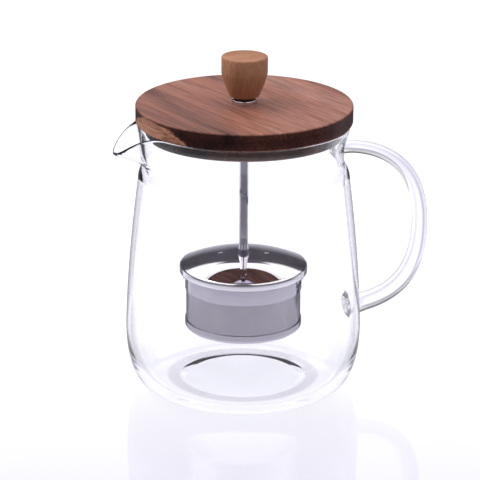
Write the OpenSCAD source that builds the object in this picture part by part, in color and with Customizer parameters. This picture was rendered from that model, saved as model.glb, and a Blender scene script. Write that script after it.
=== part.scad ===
// Glass teapot: a borosilicate jug with a drawn spout and a fused handle, a turned
// wooden lid, and an infuser that hangs from the lid on a knuckled lift rod.
// +Z is up, +X points to the handle, -X to the spout. The origin is the centre of
// the ring that the jug stands on. Millimetres.

/* [Glass jug] */
// Widest diameter of the jug
belly_d = 120; // [112:1:128]
// Height of the widest ring
belly_z = 34; // [28:1:40]
// Outer diameter of the standing ring
foot_d = 80; // [72:1:88]
// Inner diameter of the standing ring
punt_d = 66; // [50:1:70]
// How far the base is raised inside the standing ring
punt_rise = 1.2; // [0.6:0.1:2]
// Thickness of the base
base_t = 4; // [3:0.5:6]
// Thickness of the wall
wall = 2; // [1.6:0.1:2.6]
// Diameter at the shoulder, below the neck
shoulder_d = 107.8; // [100:0.2:112]
// Height of the shoulder
shoulder_z = 108; // [104:1:110]
// Height of the narrowest part of the neck
neck_z = 124; // [122:1:128]
// Height over which the shoulder curves in to the neck
neck_in = 9; // [7:1:11]
// How much the neck is pulled in
neck_dip = 2.9; // [2:0.1:4.5]
// Diameter of the rim
rim_d = 106.8; // [104:0.2:110]
// Height of the rim
rim_z = 141; // [136:1:150]

/* [Spout] */
// How far the lip of the spout stands out past the rim
spout_reach = 16; // [10:1:20]
// How far the lip of the spout is pulled down
spout_dip = 11; // [6:1:14]
// Half angle that the spout takes up on the rim
spout_spread = 13; // [9:1:18]

/* [Handle] */
// Reach of the handle's middle line from the jug's axis
handle_reach = 97.4; // [90:0.2:106]
// Height of the handle's top joint
handle_top_z = 122; // [118:1:126]
// Height of the handle's lower joint
handle_low_z = 35.5; // [32:0.5:44]
// Thickness of the handle at its top
handle_top_t = 6.6; // [5:0.2:9]
// Thickness of the handle at its foot
handle_low_t = 9.8; // [7:0.2:12]
// Width of the handle as a share of its thickness
handle_oval = 1.15; // [1:0.05:1.5]

/* [Lid] */
// Thickness of the lid's disc
disc_t = 9; // [7:0.5:12]
// How far the disc reaches past the glass rim
disc_over = 1.1; // [0.4:0.1:3]
// Depth of the plug that sits in the neck
plug_h = 6; // [4:0.5:9]
// Gap between the plug and the glass
plug_gap = 0.5; // [0.3:0.1:1.5]
// Radius on the edges of the wood
wood_edge = 1; // [0.5:0.1:2]

/* [Lid bush] */
// Outer diameter of the bush where it goes through the wood
bush_d = 9; // [8:0.2:11]
// Diameter of the bush's flange
flange_d = 12.7; // [11.5:0.1:16]
// Height of the bush's flange
flange_h = 2.3; // [1.5:0.1:3.5]
// Diameter of the round nut under the lid
nut_d = 20; // [17:0.5:24]
// Thickness of the round nut
nut_h = 3; // [2:0.5:4]
// Diameter of the two spanner holes in the nut
spanner_d = 2.4; // [1.5:0.1:3]
// Diameter of the washer under the nut
washer_d = 24; // [20:0.5:30]
// Thickness of that washer
washer_t = 0.8; // [0.5:0.1:1.5]

/* [Knob] */
// Diameter of the knob
knob_d = 23.2; // [20:0.2:28]
// Diameter of the knob at its foot
knob_foot_d = 14.6; // [13:0.2:20]
// Height of the knob
knob_h = 20.5; // [16:0.5:28]
// Height of the tapered part of the knob
knob_taper_h = 12; // [8:0.5:15]
// Diameter of the threaded insert in the knob
insert_d = 8; // [7:0.1:9]
// Length of the insert
insert_l = 11; // [8:0.5:12]
// Diameter of the soft buffer under the knob
buffer_d = 11.2; // [9:0.1:14]
// Thickness of the buffer
buffer_t = 1.6; // [1:0.1:3]

/* [Lift rod] */
// Diameter of the rod
rod_d = 4.4; // [3.6:0.1:5]
// Length from the knob's foot to the knuckle's pin
upper_rod_l = 52; // [44:1:56]
// Length from the knuckle's pin to the top of the infuser cover
lower_rod_l = 30.8; // [26:0.2:34]
// Width of the slot in the fork
fork_slot = 1.7; // [1.4:0.1:2]
// Depth of the slot below the pin
fork_depth = 6.2; // [5:0.1:8]
// Diameter of the rivet pin
pin_d = 1.8; // [1.2:0.1:2]
// Diameter of the pin's flush heads
pin_head_d = 2.8; // [2.3:0.1:3]
// Diameter of the stem's flare above the collar
flare_d = 5.6; // [5.2:0.1:5.8]
// Length of the flare
flare_l = 6.5; // [4:0.5:8]
// Diameter of the stop collar
collar_d = 6.8; // [6.4:0.1:8]
// Height of the stop collar
collar_h = 1.6; // [1:0.1:3]
// Diameter of the stud that carries the infuser cover
stud_d = 3.8; // [3:0.1:4]

/* [Infuser] */
// How far the infuser cover reaches past the basket all round
cover_over = 2.8; // [2.2:0.1:5]
// Rise of the cover's crown above its rim band
cover_rise = 6.7; // [5:0.1:10]
// Height of the cover's rim band
band_h = 2.8; // [2:0.1:4]
// Radius of the cover's shoulder
cover_knuckle = 1.6; // [1.2:0.1:3]
// Thickness of the cover's sheet
cover_t = 0.7; // [0.5:0.1:1]
// Diameter of the two vents in the cover
vent_d = 1.8; // [1:0.1:2.5]
// Distance of the vents from the axis
vent_r = 11.7; // [9:0.1:16]
// Outer diameter of the basket
basket_d = 59.6; // [56:0.2:60]
// Height of the basket below the cover's rim band
basket_h = 29.4; // [24:0.2:36]
// Height of the polished band above the mesh
upper_band_h = 8.6; // [7:0.1:10]
// Height of the polished band below the mesh
lower_band_h = 4.2; // [3:0.1:8]
// Thickness of the basket's sheet
basket_t = 0.5; // [0.4:0.1:0.8]
// Thickness of the mesh
mesh_t = 0.35; // [0.25:0.05:0.5]
// How far the mesh laps inside each band
mesh_lap = 2.6; // [1.5:0.1:3]
// Diameter of the drain holes in the basket's bottom
drain_d = 1.6; // [1:0.1:2]
// Distance between the rings of drain holes
drain_pitch = 6; // [5:0.5:8]

/* [Bayonet] */
// Diameter of the two bayonet pins
bayonet_d = 1.2; // [1:0.1:1.4]
// Depth of the bayonet pins below the cover's rim band
bayonet_drop = 4.4; // [3.4:0.1:4.6]
// How far the bayonet pins stand out past the basket
bayonet_out = 0.9; // [0.4:0.1:1.4]
// Angle that the basket turns to unlock
bayonet_turn = 25; // [15:1:40]

/* [Hidden] */

$fn = 96;
run_gap = 0.05;      // radial clearance of a rod that slides in its bush
seat_gap = 0.02;     // radial clearance of parts that are screwed or pressed together
free_gap = 0.3;      // clearance between bodies that turn or slide past each other
side_gap = 0.1;      // clearance on each side of the tongue and of the bayonet pins
eps = 0.5;           // overshoot of a cutting shape

corner_power = 2.6;  // squareness of the jug's lower corner
taper_power = 1.5;   // how late the wall starts to draw in
corner_steps = 14;
wall_steps = 12;
punt_slope = 2;      // run of the slope up to the raised base, as a share of its rise

belly_r = belly_d / 2;
foot_r = foot_d / 2;
shoulder_r = shoulder_d / 2;
rim_r = rim_d / 2;
groove_flat = 2;     // half height of the flat bottom of the neck's groove
seam_z = neck_z - groove_flat - neck_in;
wall_slope = taper_power * (belly_r - shoulder_r) / (shoulder_z - belly_z);

neck_steps = 11;
lip_steps = 5;
loft_segments = 90;
loft_inset = 0.06;   // keeps the neck's facets inside the round wall where they join
loft_sink = 0.5;     // how deep the neck's loft is rooted in the round wall
dip_power = 1.8;     // the lip's dip is narrower than its reach
bulge_power = 3;     // the spout swells late, near the rim
lip_lift = 0.7;      // share of the wall by which the spout's inner edge stands higher

handle_steps = 44;
handle_sides = 16;
weld_flare = 1.3;    // extra radius where the handle is fused to the wall
weld_reach = 4.5;    // length over which that radius fades
handle_mid_z = 77;   // height at which the handle reaches furthest out
handle_top_bend = [25.4, 10];   // how far inside the reach and below the top it bends
handle_low_bend = [11.4, 14.5]; // the same at its foot
handle_rise = [0.5, 1];         // lift of the bends above the two joints

plug_z = rim_z - plug_h;
disc_z = rim_z;
lid_top_z = disc_z + disc_t;
disc_r = rim_r + disc_over;
washer_z = plug_z - washer_t;
nut_z = washer_z - nut_h;
flange_top_z = lid_top_z + flange_h;
mouth_d = flare_d + 2 * free_gap;   // wide mouth of the bush that takes the flare
mouth_l = flare_l + 2 * free_gap;
flange_edge = 0.4;   // radius on the flange's edge
knob_bulge = 0.4;    // how much the knob's taper bows outwards

knob_z = flange_top_z + buffer_t;
pin_z = knob_z - upper_rod_l;
cover_z = pin_z - lower_rod_l;
rod_r = rod_d / 2;
knuckle_turn = 45;   // direction of the rivet pin about the rod
tongue_l = 4.8;      // from the pin to the shoulder of the tongue
head_t = 0.9;        // depth of the pin's heads in the fork's cheeks
flare_lip = 0.6;     // straight foot of the flare
flare_waist = 0.15;  // how much the flare has swollen halfway down
slot_z = pin_z - fork_depth;

cover_r = basket_d / 2 + cover_over;
crown_steps = 9;
cover_washer_t = 0.6;
cover_nut_h = 2.4;
cover_nut_d = 8;     // across the corners
stud_tip = 0.8;      // what shows of the stud below its nut
stud_l = cover_t + cover_washer_t + cover_nut_h + stud_tip;
crown_flat = 4.4;    // flat seat in the middle of the cover
band_z = cover_z - cover_rise;
edge_z = band_z - band_h;
hem_t = 1.3;         // thickness of the rolled hem
hem_edge = 0.4;      // bevel on the hem's outer edge
hem_step = 0.6;      // room between the top of the hem and the shoulder
collar_lap = 0.6;    // how far the basket's top edge reaches up inside the hem
sleeve_t = 0.5;
basket_r = basket_d / 2;
basket_z = edge_z - basket_h;
mesh_top_z = edge_z - upper_band_h;
mesh_low_z = basket_z + lower_band_h;
sleeve_r = basket_r - basket_t - free_gap;
collar_top_z = edge_z + collar_lap;
sleeve_flange_z = collar_top_z + free_gap;
sleeve_z = mesh_top_z + mesh_lap + free_gap;
bayonet_z = edge_z - bayonet_drop;
bayonet_angle = -20; // direction of the first bayonet pin
slot_w = bayonet_d + 2 * side_gap;
base_corner = 1.5;   // radius of the basket's lower corner

steel = "#b9b9bf";
dark_steel = "#8c8c94";
wood = "#8a5a46";
light_wood = "#b07f68";

// ---- curves ----------------------------------------------------------------

function mix(a, b, t) = a + (b - a) * t;
function clamp01(t) = min(max(t, 0), 1);
function smooth(t) = let (u = clamp01(t)) u * u * (3 - 2 * u);

// Superellipse quarter from [r0, z0], flat below, to [r1, z1], upright above.
function corner(r0, z0, r1, z1, steps) = [
    for (i = [1 : steps]) let (a = 90 * i / steps)
        [mix(r0, r1, pow(sin(a), 2 / corner_power)),
         mix(z0, z1, 1 - pow(cos(a), 2 / corner_power))]
];

function wall_r(z) = belly_r - (belly_r - shoulder_r)
    * pow(clamp01((z - belly_z) / (shoulder_z - belly_z)), taper_power);

// Outer radius of the jug above its shoulder: a curve that leaves the wall with the
// wall's own slope and reaches the rim upright, less the neck's groove.
function neck_r(z) = let (t = (z - shoulder_z) / (rim_z - shoulder_z))
    mix(shoulder_r, rim_r, smooth(t)) - wall_slope * (rim_z - shoulder_z) * t * pow(1 - t, 2)
    - neck_dip * smooth((z - seam_z) / neck_in)
    * (1 - smooth((z - neck_z - groove_flat) / (rim_z - neck_z - groove_flat)));

function jug_r(z) = z < shoulder_z ? wall_r(z) : neck_r(z);

// Points of the upright wall from z0 to z1, moved inwards by an inset.
function wall_points(z0, z1, inset, steps) = [
    for (i = [1 : steps]) let (z = mix(z0, z1, i / steps)) [jug_r(z) - inset, z]
];

function reversed(list) = [for (i = [len(list) - 1 : -1 : 0]) list[i]];

function arc(cx, cz, r, a0, a1, steps) = [
    for (i = [0 : steps]) let (a = mix(a0, a1, i / steps)) [cx + r * cos(a), cz + r * sin(a)]
];

function bezier(p, t) = pow(1 - t, 3) * p[0] + 3 * pow(1 - t, 2) * t * p[1]
    + 3 * (1 - t) * t * t * p[2] + t * t * t * p[3];

// ---- jug -------------------------------------------------------------------

floor_r = foot_r - wall;
plug_r = jug_r(plug_z) - wall - plug_gap;

function outer_wall() = concat(
    [[punt_d / 2, 0], [foot_r, 0]],
    corner(foot_r, 0, belly_r, belly_z, corner_steps),
    wall_points(belly_z, seam_z, 0, wall_steps));

function inner_wall() = concat(
    corner(floor_r, base_t, belly_r - wall, belly_z, corner_steps),
    wall_points(belly_z, seam_z, wall, wall_steps));

module jug_bowl() rotate_extrude()
    polygon(concat(
        [[0, punt_rise], [punt_d / 2 - punt_slope * punt_rise, punt_rise]],
        outer_wall(), reversed(inner_wall()),
        [[floor_r, base_t], [0, base_t]]));

// Cross-section of the neck as [radius, height, share of the way through the wall].
lip_z = rim_z - wall / 2;
neck_section = concat(
    [[jug_r(seam_z) - loft_inset, seam_z - loft_sink, 0]],
    [for (i = [0 : neck_steps]) let (z = mix(seam_z, lip_z, i / neck_steps))
        [jug_r(z) - (i == 0 ? loft_inset : 0), z, 0]],
    [for (i = [1 : lip_steps - 1]) let (a = 180 * i / lip_steps)
        [jug_r(lip_z) - wall / 2 * (1 - cos(a)), lip_z + wall / 2 * sin(a), (1 - cos(a)) / 2]],
    [for (i = [neck_steps : -1 : 0]) let (z = mix(seam_z, lip_z, i / neck_steps))
        [jug_r(z) - wall + (i == 0 ? loft_inset : 0), z, 1]],
    [[jug_r(seam_z) - wall + loft_inset, seam_z - loft_sink, 1]]);

// A section point turned to angle a, with the spout drawn out and pulled down round -X.
function neck_point(s, a) = let (
        off = a - 180,
        w = exp(-pow(off / spout_spread, 2)),
        t = clamp01((s[1] - seam_z) / (rim_z - seam_z)),
        r = s[0] + spout_reach * w * pow(t, bulge_power),
        z = s[1] - spout_dip * pow(w, dip_power) * t + lip_lift * wall * w * t * t * s[2])
    [r * cos(a), r * sin(a), z];

module jug_neck() {
    rows = len(neck_section);
    points = [for (j = [0 : loft_segments - 1]) for (s = neck_section)
        neck_point(s, 360 * j / loft_segments)];
    faces = [for (j = [0 : loft_segments - 1]) for (i = [0 : rows - 1]) let (
            j2 = (j + 1) % loft_segments,
            i2 = (i + 1) % rows,
            a = j * rows + i, b = j * rows + i2, c = j2 * rows + i2, d = j2 * rows + i)
        each [[a, b, c], [a, c, d]]];
    polyhedron(points, faces);
}

module glass_body() color("#cfe6ea", 0.4)
    union() {
        jug_bowl();
        jug_neck();
    }

// Middle line of the handle, in the XZ plane, as two cubic curves.
handle_upper = [[jug_r(handle_top_z) - wall, handle_top_z],
    [handle_reach - handle_top_bend[0], handle_top_z + handle_rise[0]],
    [handle_reach, handle_top_z - handle_top_bend[1]], [handle_reach, handle_mid_z]];
handle_lower = [[handle_reach, handle_mid_z], [handle_reach, handle_low_z + handle_low_bend[1]],
    [handle_reach - handle_low_bend[0], handle_low_z + handle_rise[1]],
    [wall_r(handle_low_z) - wall, handle_low_z]];

function handle_at(u) = u < 0.5 ? bezier(handle_upper, 2 * u) : bezier(handle_lower, 2 * u - 1);

function handle_radius(u) = let (p = handle_at(u), d0 = norm(p - handle_upper[0]),
        d1 = norm(p - handle_lower[3]))
    mix(handle_top_t, handle_low_t, smooth(u)) / 2
    + weld_flare * (exp(-pow(d0 / weld_reach, 2)) + exp(-pow(d1 / weld_reach, 2)));

function handle_ring(i) = let (
        u = i / handle_steps,
        du = 0.002,
        p = handle_at(u),
        tangent = handle_at(min(u + du, 1)) - handle_at(max(u - du, 0)),
        n = [tangent[1], -tangent[0]] / norm(tangent),
        r = handle_radius(u))
    [for (k = [0 : handle_sides - 1]) let (a = 360 * k / handle_sides)
        [p[0] + r * cos(a) * n[0], handle_oval * r * sin(a), p[1] + r * cos(a) * n[1]]];

module handle_rod() {
    points = [for (i = [0 : handle_steps]) each handle_ring(i)];
    sides = [for (i = [0 : handle_steps - 1]) for (k = [0 : handle_sides - 1]) let (
            k2 = (k + 1) % handle_sides,
            a = i * handle_sides + k, b = i * handle_sides + k2,
            c = (i + 1) * handle_sides + k2, d = (i + 1) * handle_sides + k)
        each [[a, c, b], [a, d, c]]];
    last = handle_steps * handle_sides;
    polyhedron(points, concat(sides,
        [[for (k = [0 : handle_sides - 1]) k]],
        [[for (k = [handle_sides - 1 : -1 : 0]) last + k]]));
}

// The handle's ends are cut to the wall that they are fused to.
module glass_handle() color("#cfe6ea", 0.4)
    difference() {
        handle_rod();
        rotate_extrude() polygon(concat([[0, 0], [foot_r, 0]],
            corner(foot_r, 0, belly_r, belly_z, corner_steps),
            wall_points(belly_z, seam_z, 0, wall_steps),
            wall_points(seam_z, lip_z, 0, neck_steps),
            [[0, lip_z]]));
    }

// ---- lid -------------------------------------------------------------------

module wooden_lid() color(wood)
    difference() {
        rotate_extrude() polygon(concat(
            [[0, plug_z]],
            arc(plug_r - wood_edge, plug_z + wood_edge, wood_edge, -90, 0, 6),
            [[plug_r, disc_z]],
            arc(disc_r - wood_edge, disc_z + wood_edge, wood_edge, -90, 0, 6),
            arc(disc_r - wood_edge, lid_top_z - wood_edge, wood_edge, 0, 90, 6),
            [[0, lid_top_z]]));
        translate([0, 0, plug_z - eps]) cylinder(d = bush_d + 2 * seat_gap, h = plug_h + disc_t + 2 * eps);
    }

module lid_bush() color(steel)
    difference() {
        union() {
            translate([0, 0, nut_z]) cylinder(d = bush_d, h = lid_top_z - nut_z);
            rotate_extrude() polygon(concat([[0, lid_top_z], [flange_d / 2, lid_top_z]],
                arc(flange_d / 2 - flange_edge, flange_top_z - flange_edge, flange_edge, 0, 90, 5),
                [[0, flange_top_z]]));
        }
        translate([0, 0, nut_z - eps]) cylinder(d = rod_d + 2 * run_gap, h = flange_top_z - nut_z + 2 * eps);
        translate([0, 0, nut_z - eps]) cylinder(d = mouth_d, h = mouth_l + eps);
    }

module bush_washer() color(dark_steel)
    translate([0, 0, washer_z]) difference() {
        cylinder(d = washer_d, h = washer_t);
        translate([0, 0, -eps]) cylinder(d = bush_d + 2 * seat_gap, h = washer_t + 2 * eps);
    }

module bush_nut() color(steel)
    translate([0, 0, nut_z]) difference() {
        cylinder(d = nut_d, h = nut_h);
        translate([0, 0, -eps]) cylinder(d = bush_d + 2 * seat_gap, h = nut_h + 2 * eps);
        for (side = [-1, 1]) translate([side * (nut_d + bush_d) / 4, 0, -eps])
            cylinder(d = spanner_d, h = nut_h + 2 * eps);
    }

// ---- knob and rod ----------------------------------------------------------

module knob() color(light_wood)
    difference() {
        rotate_extrude() polygon(concat(
            [[0, knob_z]],
            [for (i = [0 : 8]) let (t = i / 8)
                [mix(knob_foot_d, knob_d, mix(t, sin(90 * t), knob_bulge)) / 2, knob_z + knob_taper_h * t]],
            arc(knob_d / 2 - wood_edge, knob_z + knob_h - wood_edge, wood_edge, 0, 90, 6),
            [[0, knob_z + knob_h]]));
        translate([0, 0, knob_z - eps]) cylinder(d = insert_d + 2 * seat_gap, h = insert_l + eps);
    }

module knob_insert() color("#c9a24a")
    translate([0, 0, knob_z]) difference() {
        cylinder(d = insert_d, h = insert_l);
        translate([0, 0, -eps]) cylinder(d = rod_d + 2 * seat_gap, h = insert_l + 2 * eps);
    }

module buffer_washer() color("#1d1b1e")
    translate([0, 0, flange_top_z]) difference() {
        cylinder(d = buffer_d, h = buffer_t);
        translate([0, 0, -eps]) cylinder(d = rod_d + 2 * seat_gap, h = buffer_t + 2 * eps);
    }

// A bar of diameter d and length l across the rod, centred on the knuckle's pin.
module cross_bar(d, l) translate([-l / 2, 0, pin_z]) rotate([0, 90, 0]) cylinder(d = d, h = l);

// The round end that both halves of the knuckle share.
module knuckle_end() intersection() {
    cross_bar(rod_d, rod_d);
    translate([0, 0, pin_z - rod_d]) cylinder(r = rod_r, h = 2 * rod_d);
}

module upper_rod() color(steel)
    rotate([0, 0, knuckle_turn]) difference() {
        union() {
            translate([0, 0, pin_z]) cylinder(r = rod_r, h = knob_z + insert_l - pin_z);
            knuckle_end();
        }
        for (side = [0, 1]) mirror([side, 0, 0])
            translate([fork_slot / 2 - side_gap, -rod_d, pin_z - rod_d])
                cube([rod_d, 2 * rod_d, rod_d + tongue_l]);
        cross_bar(pin_d + 2 * seat_gap, 2 * rod_d);
    }

module knuckle_pin() color(dark_steel)
    rotate([0, 0, knuckle_turn]) intersection() {
        union() {
            cross_bar(pin_d, rod_d);
            for (side = [-1, 1]) translate([side * (rod_d - head_t) / 2, 0, 0])
                cross_bar(pin_head_d, head_t);
        }
        translate([0, 0, pin_z - rod_d]) cylinder(r = rod_r - seat_gap, h = 2 * rod_d);
    }

// The stud that carries the cover and, on top of the stop collar, the swelling of the stem.
module stem_foot() rotate_extrude() polygon([
    [0, cover_z - stud_l], [stud_d / 2, cover_z - stud_l], [stud_d / 2, cover_z + collar_h],
    [flare_d / 2, cover_z + collar_h], [flare_d / 2, cover_z + collar_h + flare_lip],
    [rod_r + flare_waist, cover_z + collar_h + flare_l / 2],
    [rod_r, cover_z + collar_h + flare_l], [0, cover_z + collar_h + flare_l]]);

module lower_rod() color(steel)
    union() {
        stem_foot();
        rotate([0, 0, knuckle_turn]) difference() {
            union() {
                translate([0, 0, cover_z + collar_h + flare_lip])
                    cylinder(r = rod_r, h = pin_z - cover_z - collar_h - flare_lip);
                knuckle_end();
            }
            translate([-fork_slot / 2, -rod_d, slot_z]) cube([fork_slot, 2 * rod_d, 2 * fork_depth]);
            cross_bar(pin_d + 2 * seat_gap, 2 * rod_d);
            for (side = [-1, 1]) translate([side * (rod_d - head_t - seat_gap), 0, 0])
                cross_bar(pin_head_d + 2 * seat_gap, rod_d);
        }
    }

module stem_collar() color(steel)
    translate([0, 0, cover_z]) difference() {
        cylinder(d = collar_d, h = collar_h);
        translate([0, 0, -eps]) cylinder(d = stud_d + 2 * seat_gap, h = collar_h + 2 * eps);
    }

// ---- infuser ---------------------------------------------------------------

// Half section of the cover, moved inwards by an inset: a parabola from the flat seat
// runs smoothly into the shoulder's radius.
crown_a = atan((cover_r - cover_knuckle - crown_flat) / (2 * (cover_rise - cover_knuckle)));
crown_span = cover_r - cover_knuckle * (1 - cos(crown_a)) - crown_flat;
crown_drop = cover_rise - cover_knuckle * sin(crown_a);

function crown(inset) = concat(
    [for (i = [0 : crown_steps - 1]) let (
            t = i / crown_steps,
            slope = atan(2 * crown_drop * t / crown_span))
        [crown_flat + crown_span * t - inset * sin(slope),
         cover_z - crown_drop * t * t - inset * cos(slope)]],
    arc(cover_r - cover_knuckle, band_z, cover_knuckle - inset, crown_a, 0, 6));

module infuser_cover() color(steel)
    difference() {
        rotate_extrude() polygon(concat(
            [[0, cover_z]], crown(0),
            [[cover_r, edge_z + hem_edge], [cover_r - hem_edge, edge_z], [cover_r - hem_t, edge_z],
             [cover_r - hem_t, band_z - hem_step],
             [cover_r - cover_t, band_z - hem_step + hem_edge]],
            reversed(crown(cover_t)),
            [[0, cover_z - cover_t]]));
        translate([0, 0, cover_z - 2 * cover_t]) cylinder(d = stud_d + 2 * seat_gap, h = 3 * cover_t);
        for (side = [0, 180]) rotate([0, 0, bayonet_angle + side])
            translate([vent_r, 0, band_z]) cylinder(d = vent_d, h = 2 * cover_rise);
    }

// A short ring inside the basket, with a flange that is held in the cover's hem.
module cover_sleeve() color(dark_steel)
    difference() {
        rotate_extrude() polygon([
            [sleeve_r - sleeve_t, sleeve_z], [sleeve_r, sleeve_z],
            [sleeve_r, sleeve_flange_z], [cover_r - hem_t - seat_gap, sleeve_flange_z],
            [cover_r - hem_t - seat_gap, sleeve_flange_z + sleeve_t],
            [sleeve_r - sleeve_t, sleeve_flange_z + sleeve_t]]);
        bayonet_bar(sleeve_r - 2 * sleeve_t, basket_r, bayonet_d + 2 * seat_gap);
    }

// Two round bars on opposite sides, from radius a to radius b.
module bayonet_bar(a, b, d) for (side = [0, 180]) rotate([0, 0, bayonet_angle + side])
    translate([a, 0, bayonet_z]) rotate([0, 90, 0]) cylinder(d = d, h = b - a);

module bayonet_pins() color(steel)
    bayonet_bar(sleeve_r - sleeve_t, basket_r + bayonet_out, bayonet_d);

module cover_washer() color(dark_steel)
    translate([0, 0, cover_z - cover_t - cover_washer_t]) difference() {
        cylinder(d = 2 * crown_flat, h = cover_washer_t);
        translate([0, 0, -eps]) cylinder(d = stud_d + 2 * seat_gap, h = cover_washer_t + 2 * eps);
    }

module cover_nut() color(dark_steel)
    translate([0, 0, cover_z - cover_t - cover_washer_t - cover_nut_h]) difference() {
        cylinder(d = cover_nut_d, h = cover_nut_h, $fn = 6);
        translate([0, 0, -eps]) cylinder(d = stud_d + 2 * seat_gap, h = cover_nut_h + 2 * eps);
    }

// A cut through the basket's sheet, from angle a0 to a1 and from height z0 to z1.
module band_cut(a0, a1, z0, z1) rotate([0, 0, a0]) rotate_extrude(angle = a1 - a0)
    translate([basket_r - 2 * basket_t, z0]) square([3 * basket_t, z1 - z0]);

// Slot for one bayonet pin: down from the top edge, then round to the pin's place.
module bayonet_slot() {
    half = asin(slot_w / 2 / basket_r);
    leg = bayonet_angle - bayonet_turn;
    band_cut(leg - half, bayonet_angle + half, bayonet_z - slot_w / 2, bayonet_z + slot_w / 2);
    band_cut(leg - half, leg + half, bayonet_z - slot_w / 2, collar_top_z + eps);
}

module basket_collar() color(steel)
    difference() {
        translate([0, 0, mesh_top_z]) cylinder(r = basket_r, h = collar_top_z - mesh_top_z);
        translate([0, 0, mesh_top_z - eps])
            cylinder(r = basket_r - basket_t, h = collar_top_z - mesh_top_z + 2 * eps);
        for (side = [0, 180]) rotate([0, 0, side]) bayonet_slot();
    }

mesh_r = basket_r - basket_t - seat_gap;

module basket_mesh() color("#9a9aa0")
    translate([0, 0, mesh_low_z - mesh_lap]) difference() {
        cylinder(r = mesh_r, h = mesh_top_z - mesh_low_z + 2 * mesh_lap);
        translate([0, 0, -eps]) cylinder(r = mesh_r - mesh_t, h = mesh_top_z - mesh_low_z + 2 * mesh_lap + 2 * eps);
    }

// A pressed cup with rings of drain holes in its floor.
module basket_base() color(steel)
    difference() {
        rotate_extrude() polygon(concat(
            [[0, basket_z]],
            arc(basket_r - base_corner, basket_z + base_corner, base_corner, -90, 0, 6),
            [[basket_r, mesh_low_z], [basket_r - basket_t, mesh_low_z]],
            arc(basket_r - base_corner, basket_z + base_corner, base_corner - basket_t, 0, -90, 6),
            [[0, basket_z + basket_t]]));
        for (ring = [0 : floor((basket_r - base_corner - drain_d) / drain_pitch)])
            for (k = [0 : max(6 * ring, 1) - 1])
                rotate([0, 0, 60 * k / max(ring, 1)])
                    translate([ring * drain_pitch, 0, basket_z - eps])
                        cylinder(d = drain_d, h = basket_t + 2 * eps);
    }

glass_body();
glass_handle();
wooden_lid();
lid_bush();
bush_washer();
bush_nut();
knob();
knob_insert();
buffer_washer();
upper_rod();
knuckle_pin();
lower_rod();
stem_collar();
infuser_cover();
cover_sleeve();
bayonet_pins();
cover_washer();
cover_nut();
basket_collar();
basket_mesh();
basket_base();
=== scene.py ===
import math

import bpy
import numpy as np
from mathutils import Matrix


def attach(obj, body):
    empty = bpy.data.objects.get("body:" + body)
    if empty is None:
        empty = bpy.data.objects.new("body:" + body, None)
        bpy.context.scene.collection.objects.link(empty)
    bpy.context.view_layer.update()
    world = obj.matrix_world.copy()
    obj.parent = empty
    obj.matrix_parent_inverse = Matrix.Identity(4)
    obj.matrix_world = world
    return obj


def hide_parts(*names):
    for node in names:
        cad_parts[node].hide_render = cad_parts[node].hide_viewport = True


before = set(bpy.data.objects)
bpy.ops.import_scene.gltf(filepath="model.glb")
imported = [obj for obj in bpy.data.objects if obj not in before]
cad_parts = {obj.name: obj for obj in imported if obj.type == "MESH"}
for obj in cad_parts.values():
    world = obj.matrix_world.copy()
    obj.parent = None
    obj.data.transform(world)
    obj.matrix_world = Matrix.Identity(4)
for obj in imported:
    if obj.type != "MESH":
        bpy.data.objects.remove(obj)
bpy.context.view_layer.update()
mm = 0.001
print("frame loaded:", len(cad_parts), "nodes")


# surfaces worked out as arrays

def addMesh(name, points, quads, triangles=(), crease=35):
    # points n x 3 in metres, faces as index arrays; the signed volume decides which way they face
    quads = np.asarray(quads, int).reshape(-1, 4)
    triangles = np.asarray(triangles, int).reshape(-1, 3)
    flat = np.vstack([quads[:, [0, 1, 2]], quads[:, [0, 2, 3]], triangles])
    a, b, c = (points[flat[:, k]] for k in range(3))
    if np.einsum("ij,ij->i", a, np.cross(b, c)).sum() < 0:
        quads, triangles = quads[:, ::-1], triangles[:, ::-1]
    mesh = bpy.data.meshes.new(name)
    mesh.vertices.add(len(points))
    mesh.vertices.foreach_set("co", np.ascontiguousarray(points, np.float32).ravel())
    corners = np.concatenate([quads.ravel(), triangles.ravel()]).astype(np.int32)
    sizes = np.concatenate([np.full(len(quads), 4), np.full(len(triangles), 3)]).astype(np.int32)
    mesh.loops.add(len(corners))
    mesh.loops.foreach_set("vertex_index", corners)
    mesh.polygons.add(len(sizes))
    mesh.polygons.foreach_set("loop_start", np.concatenate([[0], np.cumsum(sizes)[:-1]]).astype(np.int32))
    mesh.update(calc_edges=True)
    mesh.validate()
    mesh.shade_smooth()
    mesh.set_sharp_from_angle(angle=math.radians(crease))
    piece = bpy.data.objects.new(name, mesh)
    bpy.context.scene.collection.objects.link(piece)
    return piece


def turnedFaces(rows, columns, closedRows):
    # quads of a rows x columns grid whose columns wrap round the axis
    i = np.arange(rows if closedRows else rows - 1)[:, None]
    j = np.arange(columns)[None, :]
    i2, j2 = (i + 1) % rows, (j + 1) % columns
    i, i2 = i + 0 * j, i2 + 0 * j
    quads = np.stack([i * columns + j, i * columns + j2, i2 * columns + j2, i2 * columns + j], -1)
    return quads.reshape(-1, 4)


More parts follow.
